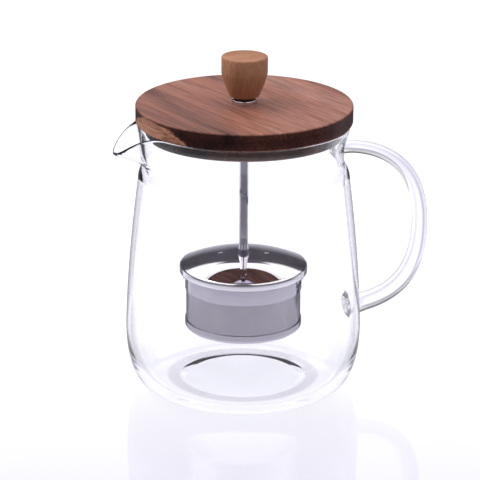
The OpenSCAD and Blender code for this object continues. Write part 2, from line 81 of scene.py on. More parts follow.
def turned(name, profile, angles=256, shape=None, crease=35):
    # surface of revolution: each profile point [radius, height] in mm swept through 360 degrees;
    # a profile that starts and ends on the axis gets poles, any other is a closed ring.
    # shape moves the swept arrays (radius, height, angle) before they become points
    profile = np.asarray(profile, float)
    around = 2 * np.pi * np.arange(angles) / angles if np.isscalar(angles) else angles
    poles = profile[0, 0] < 1e-6 and profile[-1, 0] < 1e-6
    ring = profile[1:-1] if poles else profile
    r = ring[:, 0][:, None] + 0 * around[None, :]
    z = ring[:, 1][:, None] + 0 * around[None, :]
    a = around[None, :] + 0 * r
    if shape:
        r, z = shape(r, z, a)
    points = np.stack([r * np.cos(a), r * np.sin(a), z], -1).reshape(-1, 3)
    rows, columns = len(ring), len(around)
    quads = turnedFaces(rows, columns, not poles)
    triangles = np.zeros((0, 3), int)
    if poles:
        first, last = len(points), len(points) + 1
        points = np.vstack([points, [0, 0, profile[0, 1]], [0, 0, profile[-1, 1]]])
        j = np.arange(columns)
        j2 = (j + 1) % columns
        low = np.stack([np.full(columns, first), j2, j], -1)
        top = (rows - 1) * columns
        high = np.stack([np.full(columns, last), top + j, top + j2], -1)
        triangles = np.vstack([low, high])
    return addMesh(name, points * mm, quads, triangles, crease)


def swept(name, line, across, up, crease=35):
    # tube: at each point of the line, an ellipse of half sizes across[:, 0] in the line's plane
    # and across[:, 1] at right angles to it; both ends are closed with a fan
    tangent = np.gradient(line, axis=0)
    tangent /= np.linalg.norm(tangent, axis=1)[:, None]
    side = np.cross(tangent, up)
    side /= np.linalg.norm(side, axis=1)[:, None]
    a = 2 * np.pi * np.arange(48) / 48
    points = (line[:, None, :] + across[:, 0, None, None] * np.cos(a)[None, :, None] * side[:, None, :]
              + across[:, 1, None, None] * np.sin(a)[None, :, None] * np.asarray(up, float)[None, None, :])
    rows, columns = points.shape[:2]
    points = points.reshape(-1, 3)
    first, last = len(points), len(points) + 1
    points = np.vstack([points, line[0], line[-1]])
    j = np.arange(columns)
    j2 = (j + 1) % columns
    top = (rows - 1) * columns
    ends = np.vstack([np.stack([np.full(columns, first), j2, j], -1),
                      np.stack([np.full(columns, last), top + j, top + j2], -1)])
    return addMesh(name, points * mm, turnedFaces(rows, columns, False), ends, crease)


def rounded(corners, steps=8):
    # polygon whose corners [x, y, radius] are replaced by arcs tangent to both sides
    out = []
    count = len(corners)
    for k in range(count):
        p = np.array(corners[k][:2], float)
        radius = corners[k][2]
        if radius == 0 or k in (0, count - 1):
            out.append(p[None, :])
            continue
        u = np.array(corners[k - 1][:2], float) - p
        v = np.array(corners[k + 1][:2], float) - p
        u, v = u / np.linalg.norm(u), v / np.linalg.norm(v)
        half = 0.5 * math.acos(float(np.clip(u @ v, -1, 1)))
        middle = p + (u + v) / np.linalg.norm(u + v) * radius / math.sin(half)
        start, end = p + u * radius / math.tan(half) - middle, p + v * radius / math.tan(half) - middle
        turn = math.atan2(start[0] * end[1] - start[1] * end[0], start @ end)
        t = np.linspace(0, turn, steps + 1)
        out.append(middle + np.stack([start[0] * np.cos(t) - start[1] * np.sin(t),
                                      start[0] * np.sin(t) + start[1] * np.cos(t)], -1))
    return np.vstack(out)


def smoothStep(x):
    # 0 to 1 with level ends, 3 x^2 - 2 x^3
    x = np.clip(x, 0, 1)
    return x * x * (3 - 2 * x)


def bezier(p, t):
    # cubic curve from p[0] to p[3], leaving towards p[1] and arriving from p[2]
    t = t[:, None]
    p = np.asarray(p, float)
    return (1 - t) ** 3 * p[0] + 3 * (1 - t) ** 2 * t * p[1] + 3 * (1 - t) * t * t * p[2] + t ** 3 * p[3]


# shared shader effects

def newGroup(name, inputs, outputs):
    group = bpy.data.node_groups.new(name, "ShaderNodeTree")
    for label, kind, value in inputs:
        socket = group.interface.new_socket(label, in_out="INPUT", socket_type=kind)
        if value is not None:
            socket.default_value = value
    for label, kind in outputs:
        group.interface.new_socket(label, in_out="OUTPUT", socket_type=kind)
    return group, group.nodes.new("NodeGroupInput"), group.nodes.new("NodeGroupOutput")


def node(tree, kind, inputs=None, **settings):
    new = tree.nodes.new(kind)
    for key, value in settings.items():
        setattr(new, key, value)
    for key, value in (inputs or {}).items():
        if isinstance(value, bpy.types.NodeSocket):
            tree.links.new(value, new.inputs[key])
        else:
            new.inputs[key].default_value = value
    return new


def mathNode(tree, operation, *values):
    new = tree.nodes.new("ShaderNodeMath")
    new.operation = operation
    for k, value in enumerate(values):
        if isinstance(value, bpy.types.NodeSocket):
            tree.links.new(value, new.inputs[k])
        else:
            new.inputs[k].default_value = value
    return new.outputs[0]


def mixColour(tree, share, a, b, blend="MIX"):
    new = node(tree, "ShaderNodeMix", data_type="RGBA", blend_type=blend)
    for socket, value in ((new.inputs["Factor"], share), (new.inputs["A"], a), (new.inputs["B"], b)):
        if isinstance(value, bpy.types.NodeSocket):
            tree.links.new(value, socket)
        else:
            socket.default_value = value
    return new.outputs["Result"]


def ramp(tree, value, stops):
    new = node(tree, "ShaderNodeValToRGB", {"Fac": value})
    cells = new.color_ramp.elements
    while len(cells) < len(stops):
        cells.new(0.5)
    for cell, (place, colour) in zip(cells, stops):
        cell.position = place
        cell.color = colour if len(colour) == 4 else (*colour, 1)
    return new.outputs["Color"]


def newMaterial(name, **plain):
    material = bpy.data.materials.new(name)
    material.use_nodes = True
    tree = material.node_tree
    shader = tree.nodes["Principled BSDF"]
    for key, value in plain.items():
        shader.inputs[key].default_value = value
    return material, tree, shader


wearShape = {"fineRough": 0.6, "broadScale": 55.0, "broadShare": 0.6, "fineShare": 0.4}


def wear(shape):
    # fine scratches and finger marks: one mask that changes gloss, and one height
    group, source, sink = newGroup("surfaceWear", [
        ("Vector", "NodeSocketVector", None), ("Scale", "NodeSocketFloat", 400.0),
        ("Stretch", "NodeSocketFloat", 12.0)], [("Marks", "NodeSocketFloat"), ("Height", "NodeSocketFloat")])
    stretch = node(group, "ShaderNodeCombineXYZ", {"X": 1.0, "Y": 1.0, "Z": source.outputs["Stretch"]})
    lines = node(group, "ShaderNodeVectorMath", {0: source.outputs["Vector"], 1: stretch.outputs[0]},
                 operation="MULTIPLY")
    fine = node(group, "ShaderNodeTexNoise", {
        "Vector": lines.outputs[0], "Scale": source.outputs["Scale"], "Detail": 3.0,
        "Roughness": shape["fineRough"]})
    broad = node(group, "ShaderNodeTexNoise", {
        "Vector": source.outputs["Vector"], "Scale": shape["broadScale"], "Detail": 2.0})
    marks = mathNode(group, "MULTIPLY_ADD", broad.outputs["Fac"], shape["broadShare"], mathNode(
        group, "MULTIPLY", fine.outputs["Fac"], shape["fineShare"]))
    group.links.new(marks, sink.inputs["Marks"])
    group.links.new(fine.outputs["Fac"], sink.inputs["Height"])
    return group


wearGroup = wear(wearShape)


grainShape = {"bandStretch": (0.10, 1.0, 0.45), "bendScale": 28.0, "bendBy": 0.016, "bandRough": 0.55,
              "fibreStretch": (0.035, 1.0, 1.0), "fibreScale": 900.0, "fibreRough": 0.65,
              "poreStretch": (0.10, 1.0, 1.0), "poreScale": 700.0, "poreSize": 0.22}


def grain(shape):
    # straight wood grain along local X: broad bands, fine fibres and short dark pores
    group, source, sink = newGroup("woodGrain", [
        ("Vector", "NodeSocketVector", None), ("Bands", "NodeSocketFloat", 60.0)],
        [("Bands", "NodeSocketFloat"), ("Fibres", "NodeSocketFloat"), ("Pores", "NodeSocketFloat")])
    along = node(group, "ShaderNodeVectorMath", {0: source.outputs["Vector"], 1: shape["bandStretch"]},
                 operation="MULTIPLY")
    bent = node(group, "ShaderNodeTexNoise", {
        "Vector": along.outputs[0], "Scale": shape["bendScale"], "Detail": 2.0})
    shift = node(group, "ShaderNodeVectorMath", {0: bent.outputs["Color"], "Scale": shape["bendBy"]},
                 operation="SCALE")
    moved = node(group, "ShaderNodeVectorMath", {0: along.outputs[0], 1: shift.outputs[0]}, operation="ADD")
    bands = node(group, "ShaderNodeTexNoise", {
        "Vector": moved.outputs[0], "Scale": source.outputs["Bands"], "Detail": 3.0,
        "Roughness": shape["bandRough"]})
    thin = node(group, "ShaderNodeVectorMath", {0: source.outputs["Vector"], 1: shape["fibreStretch"]},
                operation="MULTIPLY")
    fibres = node(group, "ShaderNodeTexNoise", {
        "Vector": thin.outputs[0], "Scale": shape["fibreScale"], "Detail": 4.0,
        "Roughness": shape["fibreRough"]})
    short = node(group, "ShaderNodeVectorMath", {0: source.outputs["Vector"], 1: shape["poreStretch"]},
                 operation="MULTIPLY")
    pores = node(group, "ShaderNodeTexVoronoi", {"Vector": short.outputs[0], "Scale": shape["poreScale"]})
    dots = mathNode(group, "LESS_THAN", pores.outputs["Distance"], shape["poreSize"])
    group.links.new(bands.outputs["Fac"], sink.inputs["Bands"])
    group.links.new(fibres.outputs["Fac"], sink.inputs["Fibres"])
    group.links.new(dots, sink.inputs["Pores"])
    return group


grainGroup = grain(grainShape)


# materials

def fadeNode(tree, value, start, end, first, last):
    # smooth change from first to last while the value goes from start to end
    return node(tree, "ShaderNodeMapRange", {
        "Value": value, "From Min": start, "From Max": end, "To Min": first, "To Max": last},
        interpolation_type="SMOOTHSTEP").outputs[0]


def towards(tree, place, degrees):
    # distance along a level direction
    aim = (math.cos(math.radians(degrees)), math.sin(math.radians(degrees)), 0)
    return node(tree, "ShaderNodeVectorMath", {0: place, 1: aim}, operation="DOT_PRODUCT").outputs["Value"]


def sector(tree, angle, centre, width, dark, soft=8.0):
    # 1, falling to dark within width degrees of the centre direction, over soft degrees
    off = mathNode(tree, "ABSOLUTE", mathNode(tree, "WRAP", mathNode(
        tree, "SUBTRACT", angle, math.radians(centre)), math.pi, -math.pi))
    return fadeNode(tree, off, math.radians(width), math.radians(width + soft), dark, 1.0)


def woodMaterial(name, look):
    # grain bands through a colour ramp, streaked by the fibres and dotted with dark pores; gloss
    # and bump follow the fibres
    material, tree, shader = newMaterial(name, **{"Specular IOR Level": look["specular"]})
    place = node(tree, "ShaderNodeTexCoord").outputs["Object"]
    turn = node(tree, "ShaderNodeMapping", {
        "Vector": place, "Rotation": look["turn"], "Location": look["shift"]})
    fibre = tree.nodes.new("ShaderNodeGroup")
    fibre.node_tree = grainGroup
    tree.links.new(turn.outputs[0], fibre.inputs["Vector"])
    fibre.inputs["Bands"].default_value = look["bands"]
    base = ramp(tree, fibre.outputs["Bands"], look["ramp"])
    darkest, clear = look["streakStops"]
    streak = ramp(tree, fibre.outputs["Fibres"], [(darkest, (look["streak"],) * 3), (clear, (1, 1, 1))])
    colour = mixColour(tree, 1.0, base, streak, "MULTIPLY")
    colour = mixColour(tree, mathNode(tree, "MULTIPLY", fibre.outputs["Pores"], look["pores"]), colour,
                       (*look["poreColour"], 1))
    if look.get("side"):
        # the turned edge goes darker: partly the oil that its end grain drinks, partly painted shade on the
        # faces that turn level
        geometry = node(tree, "ShaderNodeNewGeometry")
        upright = node(tree, "ShaderNodeSeparateXYZ", {"Vector": geometry.outputs["Normal"]}).outputs["Z"]
        edge = mathNode(tree, "SUBTRACT", 1.0, mathNode(tree, "SMOOTH_MIN", mathNode(
            tree, "ABSOLUTE", mathNode(tree, "MULTIPLY", upright, look["sideSharp"])), 1.0, look["sideSoft"]))
        edge = node(tree, "ShaderNodeClamp", {"Value": edge}).outputs[0]
        oiledAndShaded = mixColour(tree, 1.0, colour, (*look["side"], 1), "MULTIPLY")
        # pale sapwood behind a slanting face of the blank, on the disc's edge only
        height = node(tree, "ShaderNodeSeparateXYZ", {"Vector": place}).outputs["Z"]
        limit = mathNode(tree, "MULTIPLY_ADD", mathNode(tree, "SUBTRACT", height, look["sapZ"]),
                         look["sapRise"], look["sapReach"])
        past = mathNode(tree, "SUBTRACT", towards(tree, place, look["sapTurn"]), limit)
        past = mathNode(tree, "MULTIPLY_ADD", mathNode(
            tree, "SUBTRACT", fibre.outputs["Fibres"], 0.5), look["sapRagged"], past)
        sap = mixColour(tree, 1.0, (*look["sapwood"], 1), streak, "MULTIPLY")
        share = mathNode(tree, "MULTIPLY", fadeNode(tree, past, 0.0, look["sapFade"], 0.0, look["sapMost"]),
                         fadeNode(tree, height, look["sapZ"] - look["sapBelow"],
                                  look["sapZ"] + look["sapAbove"], 0.0, 1.0))
        oiledAndShaded = mixColour(tree, share, oiledAndShaded, sap)
        colour = mixColour(tree, edge, colour, oiledAndShaded)
    tree.links.new(colour, shader.inputs["Base Color"])
    rough = mathNode(tree, "MULTIPLY_ADD", fibre.outputs["Fibres"], look["roughFibres"], look["rough"])
    tree.links.new(rough, shader.inputs["Roughness"])
    bump = node(tree, "ShaderNodeBump", {
        "Strength": look["bump"], "Distance": look["bumpDepth"], "Height": fibre.outputs["Fibres"]})
    tree.links.new(bump.outputs[0], shader.inputs["Normal"])
    return material


def steelMaterial(name, colour, rough, stretch=12.0, bumpStrength=0.03, spread=0.08):
    # metal with faint level marks, as from turning and polishing, in its gloss and its bump
    material, tree, shader = newMaterial(name, Metallic=1.0)
    shader.inputs["Base Color"].default_value = (*colour, 1)
    place = node(tree, "ShaderNodeTexCoord").outputs["Object"]
    marks = tree.nodes.new("ShaderNodeGroup")
    marks.node_tree = wearGroup
    tree.links.new(place, marks.inputs["Vector"])
    marks.inputs["Stretch"].default_value = stretch
    tree.links.new(mathNode(tree, "MULTIPLY_ADD", marks.outputs["Marks"], spread, rough - spread / 2),
                   shader.inputs["Roughness"])
    bump = node(tree, "ShaderNodeBump", {
        "Strength": bumpStrength, "Distance": 0.0001, "Height": marks.outputs["Height"]})
    tree.links.new(bump.outputs[0], shader.inputs["Normal"])
    return material


# edge is the colour of the painted shade where the glass is seen edge on, in place of dark reflections
jugGlass = {"colour": (0.994, 0.998, 0.998), "edge": (0.03, 0.035, 0.07),
            "facing": [(0.70, 0.0), (0.93, 0.6)]}
handleGlass = {"colour": (0.985, 0.98, 0.995), "edge": (0.05, 0.05, 0.12),
               "facing": [(0.06, 0.0), (0.12, 0.5), (0.23, 0.6), (0.30, 0.03), (0.80, 0.07), (0.92, 0.4)]}


def glassMaterial(name, look):
    # clear, with painted blue-grey shade where it is seen edge on, in place of dark reflections there, and on
    # the handle's solid rod painted dark lines at each side of its middle too; facing holds [how far the
    # surface turns away, share of painted shade]
    material, tree, shader = newMaterial(name, Roughness=0.0, IOR=1.47)
    shader.inputs["Transmission Weight"].default_value = 1.0
    facing = node(tree, "ShaderNodeLayerWeight", {"Blend": 0.5}).outputs["Facing"]
    share = ramp(tree, facing, [(f, (w, w, w)) for f, w in look["facing"]])
    paintedEdgeShade = mixColour(tree, share, (*look["colour"], 1), (*look["edge"], 1))
    tree.links.new(paintedEdgeShade, shader.inputs["Base Color"])
    return material


meshLook = {"colour": (0.72, 0.67, 0.75), "holeShade": (0.03, 0.03, 0.035), "rough": 0.24, "pitch": 0.62,
            "hole": 0.30, "etch": 1.6, "radius": 29.0, "rowStep": 0.866, "bump": 0.4, "bumpDepth": 0.0001}


def meshMaterial(look):
    # etched sheet: round holes in staggered rows, worked out on the angle and the height; an etch
    # below 2 widens the holes
    material, tree, shader = newMaterial("etchedMesh", Metallic=1.0, Roughness=look["rough"])
    place = node(tree, "ShaderNodeTexCoord").outputs["Object"]
    part = node(tree, "ShaderNodeSeparateXYZ", {"Vector": place})
    angle = mathNode(tree, "ARCTAN2", part.outputs["Y"], part.outputs["X"])
    count = round(2 * math.pi * look["radius"] / look["pitch"])
    u = mathNode(tree, "MULTIPLY", angle, count / (2 * math.pi))
    v = mathNode(tree, "MULTIPLY", part.outputs["Z"], 1000 / (look["pitch"] * look["rowStep"]))
    row = mathNode(tree, "FLOOR", v)
    u = mathNode(tree, "ADD", u, mathNode(tree, "MULTIPLY", row, 0.5))
    du = mathNode(tree, "SUBTRACT", mathNode(tree, "FRACT", u), 0.5)
    dv = mathNode(tree, "MULTIPLY", mathNode(tree, "SUBTRACT", mathNode(tree, "FRACT", v), 0.5),
                  look["rowStep"])
    far = mathNode(tree, "SQRT", mathNode(tree, "ADD", mathNode(tree, "MULTIPLY", du, du),
                                          mathNode(tree, "MULTIPLY", dv, dv)))
    solid = mathNode(tree, "GREATER_THAN", far, look["hole"] / look["pitch"] / look["etch"])
    # painted shade: the holes are only coloured, dark as the basket's inside seen through them
    shade = mixColour(tree, solid, (*look["holeShade"], 1), (*look["colour"], 1))
    tree.links.new(shade, shader.inputs["Base Color"])
    bump = node(tree, "ShaderNodeBump", {
        "Strength": look["bump"], "Distance": look["bumpDepth"], "Height": solid})
    tree.links.new(bump.outputs[0], shader.inputs["Normal"])
    return material


darkWoodLook = {"turn": (0, 0, math.radians(-105)), "shift": (0, 0.004, 0), "bands": 44.0,
                "rough": 0.34, "roughFibres": 0.25, "specular": 0.12, "bump": 0.25, "bumpDepth": 0.0002,
                "ramp": [(0.36, (0.10, 0.048, 0.044)), (0.45, (0.24, 0.102, 0.080)),
                         (0.54, (0.38, 0.158, 0.112)), (0.68, (0.44, 0.220, 0.175))],
                "streak": 0.42, "streakStops": (0.34, 0.62), "pores": 0.30, "poreColour": (0.10, 0.04, 0.03),
                # side darkens the turned edge: oil in the end grain and painted shade
                "side": (0.16, 0.10, 0.095), "sideSharp": 1.4, "sideSoft": 0.2,
                "sapwood": (0.52, 0.235, 0.14), "sapTurn": 193.0, "sapReach": 0.0475, "sapZ": 0.141,
                "sapRise": 0.75, "sapRagged": 0.003, "sapFade": 0.0012, "sapMost": 0.85,
                "sapBelow": 0.0006, "sapAbove": 0.0002}
lightWoodLook = {"turn": (0, math.radians(90), math.radians(20)), "shift": (0, 0, 0.01), "bands": 60.0,
                 "rough": 0.38, "roughFibres": 0.25, "specular": 0.12, "bump": 0.25, "bumpDepth": 0.0002,
                 "ramp": [(0.30, (0.20, 0.080, 0.038)), (0.50, (0.33, 0.145, 0.075)),
                          (0.68, (0.45, 0.22, 0.13))],
                 "streak": 0.80, "streakStops": (0.34, 0.62), "pores": 0.25,
                 "poreColour": (0.14, 0.06, 0.035)}

darkWood = woodMaterial("oiledWalnut", darkWoodLook)
lightWood = woodMaterial("oiledKnobWood", lightWoodLook)
polishedSteel = steelMaterial("polishedSteel", (0.72, 0.68, 0.76), rough=0.12)
mirrorSteel = steelMaterial("mirrorSteel", (0.82, 0.79, 0.84), rough=0.02, bumpStrength=0.004, spread=0.02)
satinSteel = steelMaterial("satinSteel", (0.55, 0.55, 0.57), rough=0.32)
bandSteel = steelMaterial("bandSteel", (0.56, 0.53, 0.60), rough=0.10, stretch=30.0, bumpStrength=0.06)
turnedBrass = steelMaterial("turnedBrass", (0.72, 0.52, 0.22), rough=0.25)
clearGlass = glassMaterial("clearGlass", jugGlass)
clearHandle = glassMaterial("clearHandle", handleGlass)
etchedMesh = meshMaterial(meshLook)
blackRubber = newMaterial("blackSilicone", **{"Base Color": (0.022, 0.021, 0.023, 1), "Roughness": 0.55})[0]
print("materials ready")


def dress(piece, material, body=None, replaced=()):
    # without a material the piece keeps those it has
    if material:
        piece.data.materials.clear()
        piece.data.materials.append(material)
    if body:
        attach(piece, body)
    if replaced:
        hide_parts(*replaced)
    return piece


# glass jug

jug = {"bellyR": 60.0, "bellyZ": 34.0, "footR": 40.0, "puntR": 33.0, "puntRise": 1.2, "base": 4.0,
       "puntSlope": 4.4, "puntRound": 3, "footRound": 0.6, "wall": 2.0, "shoulderR": 53.9, "shoulderZ": 108.0,
       "softBy": 3, "softWidth": 1.6, "softFrom": 4, "seamZ": 113.0, "neckZ": 124.0, "neckIn": 9.0,
       "neckOut": 2, "dip": 2.9, "rimR": 53.4, "rimZ": 141.0, "taper": 1.5, "squareness": 2.6,
       "reach": 16.0, "reachPower": 3, "drop": 11.0, "dropPower": 1.8, "spread": 13.0, "lipLift": 0.7,
       "fineZ": 104, "columns": 320, "even": 0.45, "crowded": 0.55}


def jugRadius(z):
    # wall that draws in by a power up to the shoulder, then a curve that keeps the wall's slope
    # and ends upright at the rim, less the neck's groove
    tall, high = jug["shoulderZ"] - jug["bellyZ"], jug["rimZ"] - jug["shoulderZ"]
    drawn = jug["bellyR"] - jug["shoulderR"]
    low = jug["bellyR"] - drawn * np.clip((z - jug["bellyZ"]) / tall, 0, 1) ** jug["taper"]
    t = (z - jug["shoulderZ"]) / high
    upper = jug["shoulderR"] + (jug["rimR"] - jug["shoulderR"]) * smoothStep(t)
    upper = upper - jug["taper"] * drawn / tall * high * t * (1 - t) ** 2
    upper = upper - jug["dip"] * smoothStep((z - jug["seamZ"]) / jug["neckIn"]) * (
        1 - smoothStep((z - jug["neckZ"] - jug["neckOut"]) / (jug["rimZ"] - jug["neckZ"] - jug["neckOut"])))
    return np.where(z < jug["shoulderZ"], low, upper)


def jugRadiusSoft(z):
    # the same, averaged over a few mm of height so that the shoulder has no crease
    z = np.asarray(z, float)
    offsets = np.linspace(-jug["softBy"], jug["softBy"], 13)
    weights = np.exp(-(offsets / jug["softWidth"]) ** 2)
    values = sum(w * jugRadius(z + o) for w, o in zip(weights, offsets)) / weights.sum()
    return np.where(z > jug["bellyZ"] + jug["softFrom"], values, jugRadius(z))


def lowerCorner(r0, z0, r1, z1, steps):
    # superellipse quarter from a flat base into the upright wall
    a = np.linspace(0, np.pi / 2, steps)[1:]
    power = 2 / jug["squareness"]
    return np.stack([r0 + (r1 - r0) * np.sin(a) ** power,
                     z0 + (z1 - z0) * (1 - np.clip(np.cos(a), 0, 1) ** power)], -1)


def spoutShape(r, z, a):
    # the rim is drawn out and pulled down round -X by a bell curve of the angle, more and more
    # towards the lip; the inner skin is lifted a little there, so that the wall keeps its thickness
    off = np.degrees(np.abs(np.angle(np.exp(1j * (a - np.pi)))))
    w = np.exp(-(off / jug["spread"]) ** 2)
    t = np.clip((z - jug["seamZ"]) / (jug["rimZ"] - jug["seamZ"]), 0, 1)
    lipZ = jug["rimZ"] - jug["wall"] / 2
    depth = np.clip((jugRadiusSoft(np.clip(z, 0, lipZ))[:, :1] - r[:, :1]) / jug["wall"], 0, 1)
    lift = jug["lipLift"] * jug["wall"] * w * t * t * depth
    return r + jug["reach"] * w * t ** jug["reachPower"], z - jug["drop"] * w ** jug["dropPower"] * t + lift


def makeJug():
    # one closed profile, turned: punt and foot, outer corner and wall, half-round lip, then the
    # same wall and corner further in and the flat floor
    wall = jug["wall"]
    lipZ = jug["rimZ"] - wall / 2
    heights = np.concatenate([np.linspace(jug["bellyZ"], jug["fineZ"], 40)[1:],
                              np.linspace(jug["fineZ"], lipZ, 46)[1:]])
    outside = np.stack([jugRadiusSoft(heights), heights], -1)
    inside = outside[::-1] - [wall, 0]
    arc = np.linspace(0, np.pi, 11)[1:-1]
    lipR = outside[-1, 0] - wall / 2
    lip = np.stack([lipR + wall / 2 * np.cos(arc), lipZ + wall / 2 * np.sin(arc)], -1)
    floorR = jug["footR"] - wall
    under = rounded([(0, jug["puntRise"], 0),
                     (jug["puntR"] - jug["puntSlope"], jug["puntRise"], jug["puntRound"]),
                     (jug["puntR"], 0, jug["footRound"]), (jug["footR"], 0, 0)])
    middle = np.linspace(0, floorR, 14)[::-1]
    floor = np.stack([middle, 0 * middle + jug["base"]], -1)
    outerCorner = lowerCorner(jug["footR"], 0, jug["bellyR"], jug["bellyZ"], 34)
    innerCorner = lowerCorner(floorR, jug["base"], jug["bellyR"] - wall, jug["bellyZ"], 34)
    profile = np.vstack([under, outerCorner, outside, lip, inside, innerCorner[::-1], floor])
    # the columns stand closer together round the spout
    columns = jug["columns"]
    u = np.arange(columns) / (columns / 2) - 1 + 1 / columns
    around = np.pi + np.pi * (jug["even"] * u + jug["crowded"] * u ** 3)
    return turned("glassJug", profile, around, spoutShape, crease=60)


handle = {"topZ": 122.0, "lowZ": 35.5, "reach": 97.4, "midZ": 77.0, "root": 1.2, "topBendX": 72,
          "topRise": 0.5, "topFall": 10, "lowBend": 14.5, "lowIn": 11.4, "lowRise": 1, "topT": 6.6,
          "swell": 3.2, "oval": 1.15, "weld": 1.3, "weldReach": 4.5}


def makeHandle():
    # two cubic curves in the XZ plane, out from the upper root and back in to the lower one; the
    # oval section grows on the way down and swells at both roots
    top, low, reach, mid = handle["topZ"], handle["lowZ"], handle["reach"], handle["midZ"]
    upper = [(float(jugRadius(np.array(top))) - handle["root"], top),
             (handle["topBendX"], top + handle["topRise"]), (reach, top - handle["topFall"]), (reach, mid)]
    lower = [(reach, mid), (reach, low + handle["lowBend"]),
             (reach - handle["lowIn"], low + handle["lowRise"]),
             (float(jugRadius(np.array(low))) - handle["root"], low)]
    t = np.linspace(0, 1, 90)
    line = np.vstack([bezier(upper, t), bezier(lower, t)[1:]])
    u = np.linspace(0, 1, len(line))
    ends = [np.linalg.norm(line - line[k], axis=1) for k in (0, -1)]
    weld = sum(np.exp(-(d / handle["weldReach"]) ** 2) for d in ends)
    radius = (handle["topT"] + handle["swell"] * smoothStep(u)) / 2 + handle["weld"] * weld
    across = np.stack([radius, handle["oval"] * radius], -1)
    path = np.stack([line[:, 0], 0 * line[:, 0], line[:, 1]], -1)
    return swept("glassHandle", path, across, (0, 1, 0), crease=60)


jugPiece = makeJug()
handlePiece = makeHandle()
jugPiece.data.materials.append(clearGlass)
handlePiece.data.materials.append(clearHandle)
join = jugPiece.modifiers.new("fuse", "BOOLEAN")
join.operation, join.solver, join.object = "UNION", "EXACT", handlePiece
join.material_mode = "TRANSFER"
fused = bpy.data.meshes.new_from_object(jugPiece.evaluated_get(bpy.context.evaluated_depsgraph_get()))
jugPiece.modifiers.clear()
jugPiece.data = fused
fused.name = "glassJug"
fused.shade_smooth()
bpy.data.objects.remove(handlePiece)
dress(jugPiece, None, "jug", ("glass_body", "glass_handle"))
print("jug:", len(fused.polygons), "faces")


# wooden lid and knob

lid = {"plugR": 49.8, "plugZ": 135.0, "discR": 54.5, "discZ": 141.0, "topZ": 150.0, "boreR": 4.52,
       "boreZ": (142, 142.2), "edge": 1.0, "topEdge": 0.9, "bevel": 0.2, "columns": 256}
lidPiece = turned("woodLid", rounded([
    (lid["boreR"], lid["boreZ"][0], 0), (lid["boreR"], lid["plugZ"], lid["bevel"]),
    (lid["plugR"], lid["plugZ"], lid["edge"]), (lid["plugR"], lid["discZ"], lid["bevel"]),
    (lid["discR"], lid["discZ"], lid["edge"]), (lid["discR"], lid["topZ"], lid["topEdge"]),
    (lid["boreR"], lid["topZ"], lid["bevel"]), (lid["boreR"], lid["boreZ"][1], 0)]), lid["columns"])
dress(lidPiece, darkWood, "lid", ("wooden_lid",))

knob = {"footZ": 153.9, "height": 20.5, "taper": 12.0, "r": 11.6, "footR": 7.3, "bulge": 0.4, "boreR": 4.02,
        "bore": 11.0, "straight": 4, "edge": 0.9, "columns": 128}
t = np.linspace(0, 1, 24)
swelling = (1 - knob["bulge"]) * t + knob["bulge"] * np.sin(np.pi / 2 * t)
taper = np.stack([knob["footR"] + (knob["r"] - knob["footR"]) * swelling,
                  knob["footZ"] + knob["taper"] * t], -1)
topZ = knob["footZ"] + knob["height"]
head = rounded([(knob["r"], topZ - knob["straight"], 0), (knob["r"], topZ, knob["edge"]), (0, topZ, 0)])
knobPiece = turned("woodKnob", np.vstack([
    [(0, knob["footZ"] + knob["bore"]), (knob["boreR"], knob["footZ"] + knob["bore"]),
     (knob["boreR"], knob["footZ"])], taper, head]), knob["columns"])
dress(knobPiece, lightWood, "infuser", ("knob",))
print("wood ready")


# infuser cover

cover = {"r": 32.6, "topZ": 71.1, "rise": 6.7, "bandZ": 64.4, "edgeZ": 61.6, "sheet": 0.7, "seat": 4.4,
         "shoulder": 1.6, "hem": 1.3, "hemRound": 0.55, "hemStart": 0.4, "hemTop": 0.6,
         "hemTopRound": 0.3, "hemEnd": 0.2, "hemEndRound": 0.1, "bore": 1.92, "ventR": 0.9,
         "ventReach": 11.7, "ventTurn": math.radians(-20), "ventZ": (66.0, 74.0), "columns": 256}


def crownLine(inset):
    # parabola from the flat seat into the shoulder's arc, moved along its normal by the inset
    bend = math.atan((cover["r"] - cover["shoulder"] - cover["seat"])
                     / (2 * (cover["rise"] - cover["shoulder"])))
    span = cover["r"] - cover["shoulder"] * (1 - math.cos(bend)) - cover["seat"]
    drop = cover["rise"] - cover["shoulder"] * math.sin(bend)
    t = np.linspace(0, 1, 48)
    slope = np.arctan(2 * drop * t / span)
    crown = np.stack([cover["seat"] + span * t - inset * np.sin(slope),
                      cover["topZ"] - drop * t * t - inset * np.cos(slope)], -1)
    a = np.linspace(bend, 0, 12)[1:]
    shoulder = np.stack([cover["r"] - cover["shoulder"] + (cover["shoulder"] - inset) * np.cos(a),
                         cover["bandZ"] + (cover["shoulder"] - inset) * np.sin(a)], -1)
    return np.vstack([crown, shoulder])


outer, inner = crownLine(0), crownLine(cover["sheet"])
hemR, sheetR = cover["r"] - cover["hem"], cover["r"] - cover["sheet"]
hem = rounded([(cover["r"], cover["bandZ"] - cover["hemStart"], 0),
               (cover["r"], cover["edgeZ"], cover["hemRound"]), (hemR, cover["edgeZ"], cover["hemRound"]),
               (hemR, cover["bandZ"] - cover["hemTop"], cover["hemTopRound"]),
               (sheetR, cover["bandZ"] - cover["hemEnd"], cover["hemEndRound"]), (sheetR, cover["bandZ"], 0)])
coverPiece = turned("steelCover", np.vstack([
    [(cover["bore"], cover["topZ"])], outer, hem, inner[::-1],
    [(cover["bore"], cover["topZ"] - cover["sheet"])]]), cover["columns"], crease=50)
ventR, (ventLow, ventHigh) = cover["ventR"], cover["ventZ"]
ventProfile = np.array([(0, ventLow), (ventR, ventLow), (ventR, ventHigh), (0, ventHigh)])
cutter = turned("ventCutter", ventProfile, 24)
cutter.location = (cover["ventReach"] / 1000 * math.cos(cover["ventTurn"]),
                   cover["ventReach"] / 1000 * math.sin(cover["ventTurn"]), 0)
